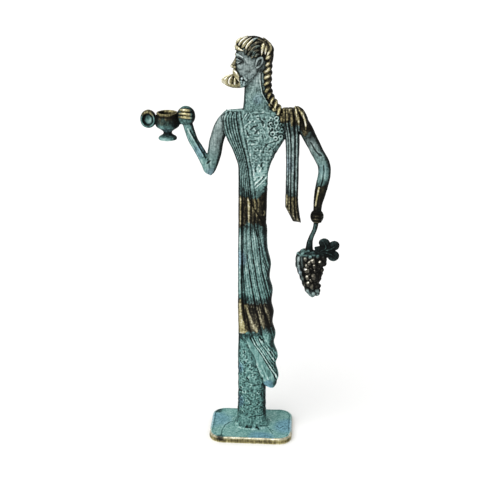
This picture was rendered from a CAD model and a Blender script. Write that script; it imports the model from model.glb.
# A cast brass statuette of the Greek god of wine with a verdigris finish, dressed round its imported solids.
# The scene is in metres. Sizes are named in millimetres and become metres where a mesh is written.
# +Z is up, and the viewer stands at -Y.
import math

import bmesh
import bpy
import numpy as np
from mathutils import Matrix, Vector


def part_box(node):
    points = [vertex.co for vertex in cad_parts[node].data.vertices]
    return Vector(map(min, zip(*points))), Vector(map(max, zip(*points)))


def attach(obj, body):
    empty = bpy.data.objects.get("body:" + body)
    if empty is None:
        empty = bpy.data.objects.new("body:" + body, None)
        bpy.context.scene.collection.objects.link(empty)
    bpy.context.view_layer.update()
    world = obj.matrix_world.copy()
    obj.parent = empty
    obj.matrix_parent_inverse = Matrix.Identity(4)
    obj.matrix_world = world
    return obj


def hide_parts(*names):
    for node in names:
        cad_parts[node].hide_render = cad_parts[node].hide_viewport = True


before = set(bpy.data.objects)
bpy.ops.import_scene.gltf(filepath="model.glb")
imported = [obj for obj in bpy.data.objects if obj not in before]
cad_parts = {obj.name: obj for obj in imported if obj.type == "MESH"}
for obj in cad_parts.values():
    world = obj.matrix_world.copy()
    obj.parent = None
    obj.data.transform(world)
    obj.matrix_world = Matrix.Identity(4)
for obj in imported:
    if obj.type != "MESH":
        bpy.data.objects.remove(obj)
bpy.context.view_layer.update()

# The plate. A low slab of brass with rounded corners, cast in sand and rubbed bright round its rim.
# It lies flat on the shelf, and the foot of the figure is joined to the middle of its top.
MM = 0.001
PLATE = {"corner": 9.5, "top_edge": 1.4, "low_edge": 0.7, "face": 0.5}


def pick_edges(piece, wanted):
    """Selects, in edit mode, the edges for which wanted(middle, direction) holds."""
    bpy.ops.mesh.select_all(action="DESELECT")
    skin = bmesh.from_edit_mesh(piece.data)
    for edge in skin.edges:
        start, end = (corner.co for corner in edge.verts)
        edge.select_set(wanted((start + end) / 2, (end - start).normalized()))
    bmesh.update_edit_mesh(piece.data)


def apply_modifier(piece, kind, **settings):
    """Adds one modifier with its settings to a piece and applies it."""
    bpy.context.view_layer.objects.active = piece
    modifier = piece.modifiers.new(kind.lower(), kind)
    for setting, value in settings.items():
        setattr(modifier, setting, value)
    bpy.ops.object.modifier_apply(modifier=modifier.name)


def settle():
    """Makes the place, turn and size of the selected objects part of their meshes."""
    bpy.ops.object.transform_apply(location=True, rotation=True, scale=True)


def cast(piece, face, soften):
    """Pours a piece into one even skin with faces that are `face` millimetres wide. Marks on it are kept."""
    bpy.context.view_layer.objects.active = piece
    piece.data.remesh_voxel_size = face * MM
    piece.data.use_remesh_preserve_attributes = True
    bpy.ops.object.voxel_remesh()
    apply_modifier(piece, "SMOOTH", factor=0.5, iterations=soften)


bpy.ops.object.select_all(action="DESELECT")
low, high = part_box("base")
bpy.ops.mesh.primitive_cube_add(size=1, location=(low + high) / 2, scale=high - low)
plate = bpy.context.object
plate.name = "plate"
settle()
bpy.ops.object.mode_set(mode="EDIT")
bpy.ops.mesh.select_mode(type="EDGE")
pick_edges(plate, lambda middle, way: abs(way.z) > 0.9)
bpy.ops.mesh.bevel(offset=PLATE["corner"] * MM, segments=12)
pick_edges(plate, lambda middle, way: abs(way.z) < 0.1 and middle.z > high.z - 0.1 * MM)
bpy.ops.mesh.bevel(offset=PLATE["top_edge"] * MM, segments=3)
pick_edges(plate, lambda middle, way: abs(way.z) < 0.1 and middle.z < low.z + 0.1 * MM)
bpy.ops.mesh.bevel(offset=PLATE["low_edge"] * MM, segments=3)
bpy.ops.object.mode_set(mode="OBJECT")
cast(plate, PLATE["face"], 2)

# The body. A tall flat trunk of brass with a bare chest, and a plain shaft for the legs.
# It is cast in one with everything that follows, so each form is a lump that is joined before it is poured.
SHOULDER = 230.7
WAIST = 178
FOOT = 4.5
forms = []


def read_curve(place, value, slope, at):
    """Reads, at any places, the smooth curve that has these values and slopes at its stations."""
    i = np.clip(np.searchsorted(place, at, side="right") - 1, 0, len(place) - 2)
    span = place[i + 1] - place[i]
    t = (at - place[i]) / span
    ends = (1 + 2 * t) * (1 - t) ** 2 * value[i] + t * t * (3 - 2 * t) * value[i + 1]
    return ends + t * (1 - t) * span * ((1 - t) * slope[i] - t * slope[i + 1])


def through(stations):
    """A smooth curve through (place, value) pairs, as a function of arrays."""
    place, value = np.array(sorted(stations), float).T
    step = np.diff(value) / np.diff(place)
    inner = np.where(step[:-1] * step[1:] <= 0, 0, (step[:-1] + step[1:]) / 2)
    slope = np.concatenate([step[:1], inner, step[-1:]])
    return lambda at: read_curve(place, value, slope, np.clip(at, place[0], place[-1]))


def ramp(value, start, end):
    """Rises smoothly from 0 at start to 1 at end."""
    t = np.clip((value - start) / (end - start), 0, 1)
    return t * t * (3 - 2 * t)


def within(value, low, high, fade):
    """1 between low and high, and 0 outside, with soft borders."""
    return ramp(value, low - fade, low + fade) * (1 - ramp(value, high - fade, high + fade))


def oblong(turn, power):
    """A rounded oblong: power 2 is an ellipse, and higher powers are squarer."""
    return tuple(np.sign(v) * np.abs(v) ** (2 / power) for v in (np.cos(turn), np.sin(turn)))


def between(left, right, share):
    """Places between two borders: share is -1 at the left one and 1 at the right one."""
    middle = (left + right) / 2
    return middle + share * (right - middle)


def closing(start, top, up):
    """Heights from start to top, closer together near the top, where a form closes in a round shoulder."""
    return start + (top - start) * np.sin(up * math.pi / 2) ** 0.9


def mould(columns, rows, place):
    """A round lump, whose points in millimetres are given by place(turn, up, out): turn runs from +X towards
    +Y, up from 0 to 1, and out is 0 at the middle of an end and 1 on the skin."""
    bpy.ops.mesh.primitive_uv_sphere_add(segments=columns, ring_count=rows + 2)
    lump = bpy.context.object
    start = np.empty(3 * len(lump.data.vertices))
    lump.data.vertices.foreach_get("co", start)
    x, y, z = start.reshape(-1, 3).T
    ring = np.round(np.arccos(np.clip(z, -1, 1)) / math.pi * (rows + 2))
    out = np.where((ring == 0) | (ring == rows + 2), 0.0, 1.0)
    up = np.clip((rows + 1 - ring) / rows, 0, 1)
    points = np.stack(np.broadcast_arrays(*place(np.arctan2(y, x), up, out)), axis=1)
    lump.data.vertices.foreach_set("co", (points * MM).ravel())
    forms.append(lump)


def path_through(points):
    """A smooth path through points: functions that give places and directions by the share of its length."""
    points = np.array(points, float)
    knots = np.concatenate([[0], np.cumsum(np.linalg.norm(np.diff(points, axis=0), axis=1) ** 0.5)])
    if len(points) > 2:
        slopes = np.gradient(points, knots, axis=0)
    else:
        slopes = np.diff(points, axis=0)[[0, 0]] / knots[-1]
    fine = np.linspace(0, knots[-1], 40 * len(points))
    line = np.stack([read_curve(knots, *axis, fine) for axis in zip(points.T, slopes.T)], axis=1)
    length = np.concatenate([[0], np.cumsum(np.linalg.norm(np.diff(line, axis=0), axis=1))])

    def at(share):
        return np.stack([np.interp(share * length[-1], length, axis) for axis in line.T], axis=-1)

    def along(share):
        way = at(np.clip(share + 0.01, 0, 1)) - at(np.clip(share - 0.01, 0, 1))
        return way / np.linalg.norm(way, axis=-1, keepdims=True)

    return at, along


def taper(start, most, end, full=0.4):
    """Thickness along a fold, lock or limb: it is greatest at the share `full`."""
    def thickness(t):
        rising = start + (most - start) * np.sin(np.clip(t / full, 0, 1) * math.pi / 2)
        falling = end + (most - end) * np.sin(np.clip((1 - t) / (1 - full), 0, 1) * math.pi / 2)
        return np.where(t < full, rising, falling)

    return thickness


def along_bar(size):
    """A half size as a function of the share of a bar's length, made from a number or from stations."""
    if callable(size):
        return size
    return through(size) if isinstance(size, list) else lambda t: size + 0 * t


def bar(points, wide, deep=None, columns=16, rows=32, flute=None, facing=(0, 1, 0)):
    """A bar along a smooth path. wide and deep are its half sizes across the picture and along `facing`."""
    at, along = path_through(points)
    wide, deep = along_bar(wide), along_bar(deep or wide)

    def place(turn, up, out):
        way = along(up)
        back = np.array(facing, float) - way * (way @ np.array(facing, float))[:, None]
        back /= np.linalg.norm(back, axis=1, keepdims=True)
        across = np.cross(back, way)
        raised = out * (1 + (flute(turn, up) if flute else 0))
        sideways = across * (raised * wide(up) * np.cos(turn))[:, None]
        return (at(up) + sideways + back * (raised * deep(up) * np.sin(turn))[:, None]).T

    mould(columns, rows, place)


def ball(up, out):
    """How wide and how high a ball of size 1 is at its rings, which stop just short of its ends."""
    lift = (up - 0.5) * math.pi * 0.98
    return out * np.cos(lift), np.where(out > 0, np.sin(lift), 2 * up - 1)


def egg(centre, half, columns=24, rows=20, swell=None):
    """An egg with half sizes along X, Y and Z, swollen or dented by a function of its turn and height."""
    def place(turn, up, out):
        ring, height = ball(up, out)
        grow = 1 + (swell(turn, height) if swell else 0)
        return (
            centre[0] + half[0] * ring * np.cos(turn) * grow,
            centre[1] + half[1] * ring * np.sin(turn) * grow,
            centre[2] + half[2] * height * grow,
        )

    mould(columns, rows, place)


def column_of(rows, name, width):
    """One property of a mesh's points as an array."""
    values = np.empty(len(rows) * width, np.float32)
    rows.foreach_get(name, values)
    return values.reshape(-1, width).astype(float)


def store(piece, name, values):
    """Writes one number for each point of a piece's skin."""
    layer = piece.data.attributes.get(name) or piece.data.attributes.new(name, "FLOAT", "POINT")
    layer.data.foreach_set("value", np.asarray(values, np.float32))


def weather(dark, rubbed=0, gold=0.4):
    """Marks the forms made since the last call: how dark their crust is, how far it is rubbed off, and how
    bright the metal below is. Each is a number, or a function of x, y and z in millimetres."""
    for form in forms:
        if "dark" not in form.data.attributes:
            x, y, z = (column_of(form.data.vertices, "co", 3) / MM).T
            for name, rule in (("dark", dark), ("rubbed", rubbed), ("gold", gold)):
                store(form, name, rule(x, y, z) if callable(rule) else np.full(len(x), rule))


torso_left = through([
    (SHOULDER, -16.5), (226, -19), (219, -18.4), (213, -16.2), (204, -12), (193, -9), (150, -9),
])
torso_right = through([
    (SHOULDER, 22), (218, 22.5), (213, 20.8), (204, 15.6), (193, 11), (182, 10), (165, 9.6), (150, 9.2),
])
torso_deep = through([(231.5, 2.6), (229.5, 3.8), (225, 4.8), (206, 5.6), (180, 5.3), (165, 5.4), (150, 5.2)])


def torso(turn, up, out):
    z = closing(WAIST - 28, SHOULDER + 0.8, up)
    c, s = oblong(turn, 2.6)
    slope = 1.6 * up**8 * (1 - np.abs(c) * out)
    return between(torso_left(z), torso_right(z), out * c), out * s * torso_deep(z), z + slope


SHAFT_TOP = 84
shaft_wide = through([(SHAFT_TOP, 8.8), (70, 9.5), (20, 9.8), (12, 10.2), (8, 10.8), (FOOT, 12.5)])
shaft_deep = through([(SHAFT_TOP, 5), (70, 6), (20, 6.2), (12, 6.4), (8, 6.9), (FOOT, 8)])


def shaft(turn, up, out):
    z = FOOT + (SHAFT_TOP - FOOT) * up**2
    c, s = oblong(turn, 2.7)
    return 0.2 + out * c * shaft_wide(z), out * s * shaft_deep(z), z


mould(64, 60, torso)
mould(64, 60, shaft)
# Lumps of brazing metal round the foot, each as its place on the plate, its width and its height
foot_lumps = [
    (-9.4, 2, 4, 3.4), (-8.4, -3.2, 3.6, 4), (-3.4, -4.4, 5, 3), (2.4, -4.6, 5, 3.4), (6.8, -3.4, 3.8, 4.2),
    (9.4, 1.4, 3.8, 3.4), (-5, 6, 5, 3), (1, 6.6, 5, 2.6), (6.4, 6, 4.4, 3), (-11.6, 4.6, 3, 1.8),
    (11.4, 4.4, 3, 1.8),
]
for x, y, width, tall in foot_lumps:
    egg((x, y, FOOT - 0.4), (width, 0.9 * width, tall), 24, 14)
egg((0.6, -4, FOOT - 0.2), (11.4, 6.4, 2.4), 32, 16)
weather(
    lambda x, y, z: 0.14 + 0.27 * ramp(z, 7, 14) - 0.13 * ramp(z, 14, 60) - 0.06 * ramp(z, 90, 150)
    - 0.16 * ramp(200 - z, 0, 8) * (z > 150)
)

# The cloak. Wool drawn into long folds that fan out from the waist, as the caster modelled it in wax.
# Its front edge is a flat turned border, and its hem slants down to one side over a smooth strip.
CLOAK_LEFT = -9.3
cloak_right = through([
    (WAIST, 9.4), (165, 9.4), (150, 10), (138, 10.4), (126, 12.7), (117, 12), (107, 14.1), (99, 13.4),
    (91, 15), (84, 14.3), (75, 16.5), (69, 15.3), (58, 18.1), (53, 16.7), (43, 18.9), (38, 17.6), (33, 18.2),
])
cloak_deep = through([(WAIST, 6), (150, 6.5), (100, 7.1), (33, 7.1)])
# Heights of the cloak's top and hem by the place across the body, from -1 at the left to 1 at the right
cloak_top = through([(1, WAIST - 25), (0.2, WAIST - 12), (-0.4, WAIST - 2), (-1, WAIST)])
hem_height = through([(1, 37.2), (0.8, 35.2), (0.45, 38.6), (-0.55, 72.5), (-1, 74)])
# The line along the hem where the folds start, as places across and up the body
hem_line = [
    (-0.5, 74), (1.9, 68.8), (4.7, 65.1), (7.5, 60.6), (10.3, 55.4), (13.1, 50.1), (15.9, 45.6), (17.3, 41.8),
]
hem_border = through([(-9, 76), *hem_line])
# The grooves between the folds: the place across the body at each height
cloak_grooves = [through(line) for line in (
    [(WAIST, -6.1), (130, -6.1), (117, -5.6), (102, -4.3), (89, -2.9), (80, -0.9), (74, 0.9)],
    [(WAIST, -3.6), (150, -3.6), (135, -3.2), (120, -1), (102, 2.1), (88, 4.9), (80, 6.7), (70, 9),
     (60, 15.1)],
    [(WAIST, -0.8), (154, -0.8), (135, 0.6), (121, 3), (113, 4.3), (106, 5.8), (94, 8.6), (82, 12.8),
     (70, 16)],
    [(WAIST, 2.2), (156, 2.2), (146, 4.6), (138, 5.6), (124, 7), (117, 8.8), (110, 10.5), (103, 12.6),
     (94, 16)],
    [(WAIST, 4), (155, 4), (142, 6.3), (134, 8), (124, 11.4), (115, 15)],
)]
# A fold of this width or more stands out in full, and the folds are deeper or flatter from form to form
FULL_FOLD = 3.5
FOLD_DEPTH = {"cloak": 1.5, "band": 2.3, "strip": 2.4}


def drape(x, grooves):
    """How far cloth stands out that is drawn into folds between grooves at these places across the body."""
    grooves = np.sort(np.stack(np.broadcast_arrays(*grooves)), axis=0)
    fold = np.clip((x >= grooves).sum(0) - 1, 0, len(grooves) - 2)[None]
    start, end = np.take_along_axis(grooves, fold, 0)[0], np.take_along_axis(grooves, fold + 1, 0)[0]
    share = np.clip((x - start) / np.maximum(end - start, 0.2), 0, 1)
    return np.clip((end - start) / FULL_FOLD, 0.4, 1) * ((4 * share * (1 - share)) ** 0.45 - 0.65)


def on_faces(s):
    """1 on the front and the back of a form and 0 at its sides, where the folds fade."""
    return ramp(np.abs(s), 0.1, 0.6)


def cloak(turn, up, out):
    c, s = oblong(turn, 2.5)
    z = hem_height(c) + (cloak_top(c) - hem_height(c)) * up
    x = between(CLOAK_LEFT, cloak_right(z), out * c)
    grooves = [CLOAK_LEFT - 1 + 0 * x, *(groove(z) for groove in cloak_grooves), cloak_right(z) + 0.6]
    above_hem = z - hem_border(x)
    folded = np.maximum(ramp(above_hem, 0.5, 4), 1 - ramp(x, -2.5, -0.5))
    folds = FOLD_DEPTH["cloak"] * drape(x, grooves) * folded
    thin = 1 - 0.07 * ramp(x, -2, 1) * (1 - ramp(above_hem, -2, 1))
    plainer_back = np.where(s > 0, 0.7, 1)
    return x, out * s * (cloak_deep(z) * thin + folds * (on_faces(s) * plainer_back)), z


mould(200, 260, cloak)
weather(lambda x, y, z: 0.06 + 0.24 * ramp(z, 60, 105))
border = [
    (-7.4, -3.4, WAIST + 2), (-7.7, -4, 140), (-7.6, -4.6, 104), (-6.7, -4.8, 90), (-5.4, -4.6, 77.5),
]
bar(
    border,
    [(0, 1), (0.4, 1.5), (0.72, 1.6), (0.86, 2.4), (1, 3.4)],
    [(0, 2.4), (0.6, 2.9), (1, 2.7)],
    columns=24, rows=120,
)
weather(0.2)

# The shoulder band. The gathered edge of the cloak crosses the chest from the right shoulder in narrow folds.
# It runs down to the waist, where the cloak starts.
band_left = through([
    (SHOULDER, -17.4), (229, -19.4), (226, -20.4), (219, -19.2), (213, -16.6), (204, -12.2), (193, -9.2),
    (160, -9.2),
])
band_right = through([(SHOULDER, -8.4), (213, -5.2), (204, -3.2), (193, -1.2), (174, 1.6), (160, 4)])
band_deep = through([(SHOULDER, 3.8), (229, 4.8), (225, 5.4), (206, 6.2), (176, 6), (160, 4.6)])
# The grooves between the band's folds, from -1 at its left border to 1 at its right one, and its lumpy top
BAND_GROOVES = (-1.1, -0.78, -0.45, -0.16, 0.12, 0.38, 0.66, 1.1)
BAND_TOP = {"bump": 0.8, "spacing": 3.2, "start": -17.2}


def shoulder_band(turn, up, out):
    z = closing(WAIST - 18, SHOULDER, up)
    c, s = oblong(turn, 2.8)
    left, right = band_left(z), band_right(z)
    x = between(left, right, out * c)
    folds = FOLD_DEPTH["band"] * drape(x, [between(left, right, share) for share in BAND_GROOVES])
    bumps = BAND_TOP["bump"] * np.cos(math.tau * (x - BAND_TOP["start"]) / BAND_TOP["spacing"]) * up**8
    return x, out * s * (band_deep(z) + folds * on_faces(s)), z + bumps


mould(220, 110, shoulder_band)
weather(0.5)

# The cloak's end. It passes over the left shoulder and hangs free beside the body in straight folds.
# It is cast with the body, and open to it below the armpit.
STRIP = {"top": 233.4, "hem_left": 167, "hem_right": 156}
STRIP_GROOVES = (-1.08, -0.58, -0.22, 0.42, 1.08)
strip_left = through([(STRIP["top"], 19), (226, 18.6), (216, 20.8), (208, 21.5), (160, 21.7)])
strip_right = through([
    (STRIP["top"], 28.4), (230, 30), (222, 30.5), (174, 30.2), (162, 31.4), (STRIP["hem_right"], 32.4),
])
strip_deep = through([
    (STRIP["top"], 2.4), (231.4, 4.6), (224, 5.4), (212, 4.3), (200, 3.4), (STRIP["hem_right"], 3.1),
])


def strip(turn, up, out):
    c, s = oblong(turn, 2.6)
    hem = (STRIP["hem_left"] + STRIP["hem_right"] + c * (STRIP["hem_right"] - STRIP["hem_left"])) / 2
    z = closing(hem, STRIP["top"], up)
    left, right = strip_left(z), strip_right(z)
    x = between(left, right, out * c)
    folds = FOLD_DEPTH["strip"] * drape(x, [between(left, right, share) for share in STRIP_GROOVES])
    waved = 1.2 * folds * (1 - up) ** 12
    return x, out * s * (strip_deep(z) + folds * on_faces(s)), z + waved


mould(160, 110, strip)
egg((29.4, 0, 225.2), (6.4, 4.3, 6.6))
shoulder_folds = [
    [(27.4, 1.8, 234.1), (28.6, 4.6, 230.6), (29.6, 4.9, 226.1), (30, 4.6, 219.5)],
    [(28.5, 1, 234.2), (31.7, 4, 230.7), (34.3, 4.2, 226.1), (35.7, 3.6, 221.5)],
    [(32, 3.2, 229.6), (34, 4.4, 225.6), (34.4, 4.2, 220.2)],
]
for side in (-1, 1):
    for line in shoulder_folds:
        line = [(x, side * y, z) for x, y, z in line]
        bar(line, taper(0.7, 1.2, 0.5), taper(0.7, 1.5, 0.5), columns=12, rows=24)
weather(0.4)

# The arms. Thin plain bars of metal: the right one is raised to hold the cup, and the left one hangs.
# Each ends in a closed hand, whose fingers are rolls over a rounded palm.
AHEAD = -1
GRIP = {"x": -43, "z": 227.5, "half": (6.4, 5, 6.6)}
HOLD = {"x": 42.8, "z": 161, "half": (4.7, 4.4, 5)}


def in_plane(line, y=AHEAD):
    """A line drawn across and up the picture, in the plane of the hands and of what they hold."""
    return [(x, y, z) for x, z in line]


left_arm = [
    (28, 0, 228), (33.6, 0, 220.6), (38.3, 0, 212), (42.4, 0, 204), (46.4, -0.2, 196.6), (47, -0.4, 190.5),
    (46, -0.6, 184.5), (44.7, -0.8, 178), (43.3, AHEAD, 170), (HOLD["x"], AHEAD, HOLD["z"] + 1),
]
bar(
    left_arm,
    [(1, 2.6), (0.9, 2.9), (0.8, 3.8), (0.6, 4.2), (0.4, 4.1), (0.2, 4.5), (0, 5.4)],
    [(1, 2.4), (0.8, 3.2), (0.5, 3.6), (0.2, 3.9), (0, 4.4)],
    columns=24, rows=60,
)
weather(lambda x, y, z: 0.36 - 0.2 * ramp(196 - z, 0, 8))
upper_arm = [
    (-15, 0, 228.6), (-19.6, 0, 221.6), (-23.2, -0.2, 212), (-25, -0.6, 202), (-26.4, -0.8, 196),
    (-27.7, AHEAD, 188.2),
]
bar(
    upper_arm,
    [(1, 0.6), (0.96, 2.2), (0.85, 3.7), (0.65, 4.5), (0.4, 4.7), (0.2, 4.8), (0, 4)],
    [(1, 1.8), (0.8, 3.2), (0.4, 3.8), (0, 4)],
    columns=24, rows=48,
)
weather(lambda x, y, z: 0.36 - 0.2 * ramp(z, 196, 212))
forearm = in_plane([
    (-27.7, 188.4), (-30.2, 195.6), (-33, 201.6), (-36, 206.9), (-38.9, 212.2),
    (GRIP["x"] - 0.2, GRIP["z"] - 1.5),
])
bar(
    forearm,
    [(1, 3.2), (0.75, 3.2), (0.6, 3.1), (0.3, 3.3), (0.12, 3.3), (0.04, 2.4), (0, 0.6)],
    [(1, 3), (0.5, 2.9), (0.05, 2), (0, 0.6)],
    columns=24, rows=48,
)
weather(0.1)


def palm(hand):
    """The ball of a closed hand, a little under the hand's half sizes."""
    wide, deep, tall = hand["half"]
    egg((hand["x"], AHEAD, hand["z"]), (0.95 * wide, 0.9 * deep, 0.98 * tall))


def fingers(hand, levels):
    """Fingers wrapped round the front of a palm at these levels, from -1 at its foot to 1 at its top."""
    x, z = hand["x"], hand["z"]
    wide, deep, tall = hand["half"]
    for level in levels:
        reach = math.sqrt(1 - level**2)
        finger = [
            (x + 0.78 * wide * reach, AHEAD - 0.3 * deep, z + (level - 0.06) * tall),
            (x + 0.5 * wide * reach, AHEAD - 0.78 * deep * reach, z + (level + 0.02) * tall),
            (x - 0.1 * wide * reach, AHEAD - 0.9 * deep * reach, z + (level + 0.08) * tall),
            (x - 0.72 * wide * reach, AHEAD - 0.5 * deep * reach, z + (level + 0.02) * tall),
        ]
        thick = taper(0.08 * tall, 0.15 * tall, 0.1 * tall, 0.6)
        bar(finger, thick, columns=12, rows=20, facing=(0, 0, 1))


palm(GRIP)
palm(HOLD)
weather(lambda x, y, z: 0.5 + 0.3 * ramp(z, 226, 232) + 0.4 * (x > 0), lambda x, y, z: 0.8 * (x > 0), 0)
fingers(GRIP, (0.6, 0.26, -0.06))
weather(0.3, lambda x, y, z: 0.95 - 0.6 * ramp(x, GRIP["x"] + 1.5, GRIP["x"] + 4), 0.8)
fingers(HOLD, (0.62, 0.2, -0.22, -0.62))
weather(0.7, 0.8, 0.3)

# The cup. A small footed drinking cup with two ring handles, cast in the hand that lifts it.
# Its bowl is open, and the casting leaves a thin web across the free handle.
CUP = {"x": -55.2, "foot": 211.8, "rim": 229.6, "bowl": 7}
LOOP = {"x": -67.6, "z": 225.1, "wide": 5.3, "tall": 6, "deep": 2.4}
RING = {"radius": 4.2, "thick": 1.15, "outer": 5.35}
foot, rim = CUP["foot"], CUP["rim"]
cup_profile = [
    (0, foot + 0.3), (4, foot + 0.1), (5.6, foot), (6.1, foot + 0.5), (5.7, foot + 1.6), (4.6, foot + 2.4),
    (3.2, foot + 3.4), (2.7, foot + 4.4), (3.1, foot + 5.4), (4.5, foot + 6.6), (6.2, foot + 7.7),
    (7.6, foot + 9), (7.9, foot + 11.2), (7.6, foot + 14.2), (6.9, rim - 1.8), (7.1, rim - 0.8), (6.8, rim),
    (5.9, rim), (5.4, rim - 0.8), (5.4, rim - 3), (4.9, rim - 4.8), (3.2, rim - 6.6), (0, rim - CUP["bowl"]),
]
profile_at, _ = path_through(in_plane(cup_profile, 0))


def cup_wall(turn, up, out):
    r, _, z = profile_at(up).T
    return CUP["x"] + out * r * np.cos(turn), AHEAD + out * r * np.sin(turn), z


def inside_cup(x, y, z):
    return ramp(z, rim - 8, rim - 6) * (1 - ramp(np.hypot(x - CUP["x"], y - AHEAD), 5.4, 6))


mould(48, 110, cup_wall)
weather(
    lambda x, y, z: 0.25 + 0.5 * (1 - inside_cup(x, y, z)) * ramp(z, foot + 1, foot + 3),
    lambda x, y, z: 0.1 + 0.5 * ramp(z, foot + 9, foot + 12) + 0.4 * ramp(z, rim - 2, rim - 1),
    lambda x, y, z: 0.5 + 0.2 * ramp(z, rim - 2, rim - 0.6),
)
bpy.ops.mesh.primitive_torus_add(
    major_segments=40, minor_segments=16, major_radius=RING["radius"] * MM, minor_radius=RING["thick"] * MM,
    location=(LOOP["x"] * MM, AHEAD * MM, LOOP["z"] * MM), rotation=(math.pi / 2, 0, 0),
)
ring = bpy.context.object
ring.scale = (LOOP["wide"] / RING["outer"], LOOP["tall"] / RING["outer"], LOOP["deep"])
settle()
forms.append(ring)
handles = [
    [(LOOP["x"] + 4.4, LOOP["z"]), (CUP["x"] - 5, LOOP["z"] - 1)],
    [(CUP["x"] + 5, GRIP["z"] - 3.4), (GRIP["x"] - 3, GRIP["z"] - 1.4)],
]
for handle in handles:
    bar(in_plane(handle), 3.6, 2.4, columns=16, rows=8)
weather(
    lambda x, y, z: 0.9 - 0.3 * ramp(z + 0.3 * x, 204, 209),
    lambda x, y, z: 0.2 + 0.5 * ramp(z, 225, 229),
    lambda x, y, z: 0.2 + 0.35 * ramp(z + 0.3 * x, 205, 209),
)
egg((LOOP["x"], AHEAD, LOOP["z"] - 0.6), (4.2, 1.1, 4.6))
weather(lambda x, y, z: 0.45 - 0.8 * ramp(x - z, -294, -291))

# The grapes. A flat pointed bunch with round berries all over it, on a short stalk from the left hand,
# and a vine leaf of three lobes beside it. It is cast with the hand.
GRAPES = {"x": 38.6, "lean": 2.4, "top": 135, "tip": 103.6, "flat": 0.58, "across": 8, "rows": 16}
LEAF = {"x": 50.4, "z": 137.4}
bunch_wide = through([
    (1, 2.4), (0.93, 4), (0.8, 4.9), (0.6, 6.2), (0.42, 8), (0.25, 9.8), (0.1, 10.3), (0, 9.6),
])
# The smooth left border of the bunch, with no berries beyond it: its heights, and its places across
BARE_BORDER = ((103, 107, 112, 119, 126, 132), (46, 41, 38.4, 36, 33.4, 33))
scattered = np.random.default_rng(7)


def on_bunch(turn, down, proud):
    """A point at this turn and share of the way down, `proud` of the bunch's middle skin."""
    r = bunch_wide(down) + proud
    return (
        GRAPES["x"] + GRAPES["lean"] * down + r * np.cos(turn),
        AHEAD + GRAPES["flat"] * r * np.sin(turn),
        GRAPES["top"] + (GRAPES["tip"] - GRAPES["top"]) * down,
    )


def bunch(turn, up, out):
    x, y, z = on_bunch(turn, 1 - up, -0.9)
    middle = GRAPES["x"] + GRAPES["lean"] * (1 - up)
    return middle + out * (x - middle), AHEAD + out * (y - AHEAD), z + (1 - out) * np.where(up > 0.5, 2, -1)


mould(40, 40, bunch)
for row in range(GRAPES["rows"]):
    down = np.clip((row + 0.5) / GRAPES["rows"] + scattered.uniform(-0.01, 0.01), 0, 1)
    across = max(3, round(GRAPES["across"] * min(1, bunch_wide(down) / 8)))
    for column in range(across):
        turn = math.tau * (column + 0.5 * (row % 2) + scattered.uniform(-0.25, 0.25)) / across
        lower = np.clip(down + scattered.uniform(-0.02, 0.02), 0, 1)
        x, y, z = on_bunch(turn, lower, scattered.uniform(-1.7, -0.7))
        size = scattered.uniform(1.3, 2.7)
        if x >= np.interp(z, *BARE_BORDER):
            half = (size, 0.95 * size, scattered.uniform(0.85, 1.1) * size)
            egg((float(x), float(y), float(z)), half, columns=12, rows=10)
grape_rim = [
    (38.6, 137.4), (34.4, 135.6), (31.4, 131.6), (31.6, 126), (34, 119), (36.6, 112), (38.8, 107),
    (41, 105.6),
]
bar(
    in_plane(grape_rim),
    taper(1.6, 2.2, 1.8),
    taper(2.6, 4.6, 1.8, full=0.3),
    columns=16, rows=60, flute=lambda turn, up: 0.1 * np.cos(50 * up),
)
egg((38, AHEAD, 133.6), (7, 4, 4))
egg((45.4, AHEAD, 134.2), (5, 2.6, 3.8))
weather(
    lambda x, y, z: 0.85 - 0.4 * np.maximum(ramp(35 - x, 0, 5), ramp(111 - z, 0, 5)) + 0.3 * ramp(x, 40, 44),
    lambda x, y, z: 0.8 - 0.75 * np.maximum.reduce([
        ramp(36 - x, 0, 4), ramp(112 - z, 0, 5), ramp(z, 132, 136),
    ]),
    0.5,
)
stalk = in_plane([
    (HOLD["x"], HOLD["z"] - 1), (41.6, 152), (39, 145), (38.2, 138), (GRAPES["x"], GRAPES["top"] - 5),
])
bar(stalk, taper(2, 1.5, 4, full=0.3), taper(2, 1.6, 3, full=0.3), columns=16, rows=40)
weather(lambda x, y, z: 1.1 + 0.4 * ramp(150 - z, 0, 10))
leaf_root = (LEAF["x"] - 5, AHEAD, LEAF["z"] - 0.6)
# The leaf's lobes, each as its place across and up from the leaf's middle, and its half sizes
leaf_lobes = ((-2.2, 5, 3.8, 3.2), (4.4, 3.2, 3.6, 3.4), (4, -4, 4, 3.8))
leaf_stem = in_plane([(LEAF["x"] - 8, LEAF["z"] - 1.4), (LEAF["x"] - 2, LEAF["z"])])
bar(leaf_stem, 3.6, 1.8, columns=16, rows=8)
egg((LEAF["x"] - 1, AHEAD, LEAF["z"] - 0.6), (6, 2.2, 5))
for x, z, wide, tall in leaf_lobes:
    egg((LEAF["x"] + x, AHEAD, LEAF["z"] + z), (wide, 1.9, tall))
weather(1.5, 0.2, 0)
for x, z, wide, tall in leaf_lobes:
    for side in (-1, 1):
        vein = [
            (leaf_root[0], AHEAD + side * 1.9, leaf_root[2]),
            (LEAF["x"] + 0.5 * x, AHEAD + side * 2.3, LEAF["z"] + 0.5 * z),
            (LEAF["x"] + 1.5 * x, AHEAD + side * 1.4, LEAF["z"] + 1.4 * z),
        ]
        bar(vein, taper(0.5, 0.5, 0.3), columns=8, rows=20)
weather(1.7)

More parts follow.
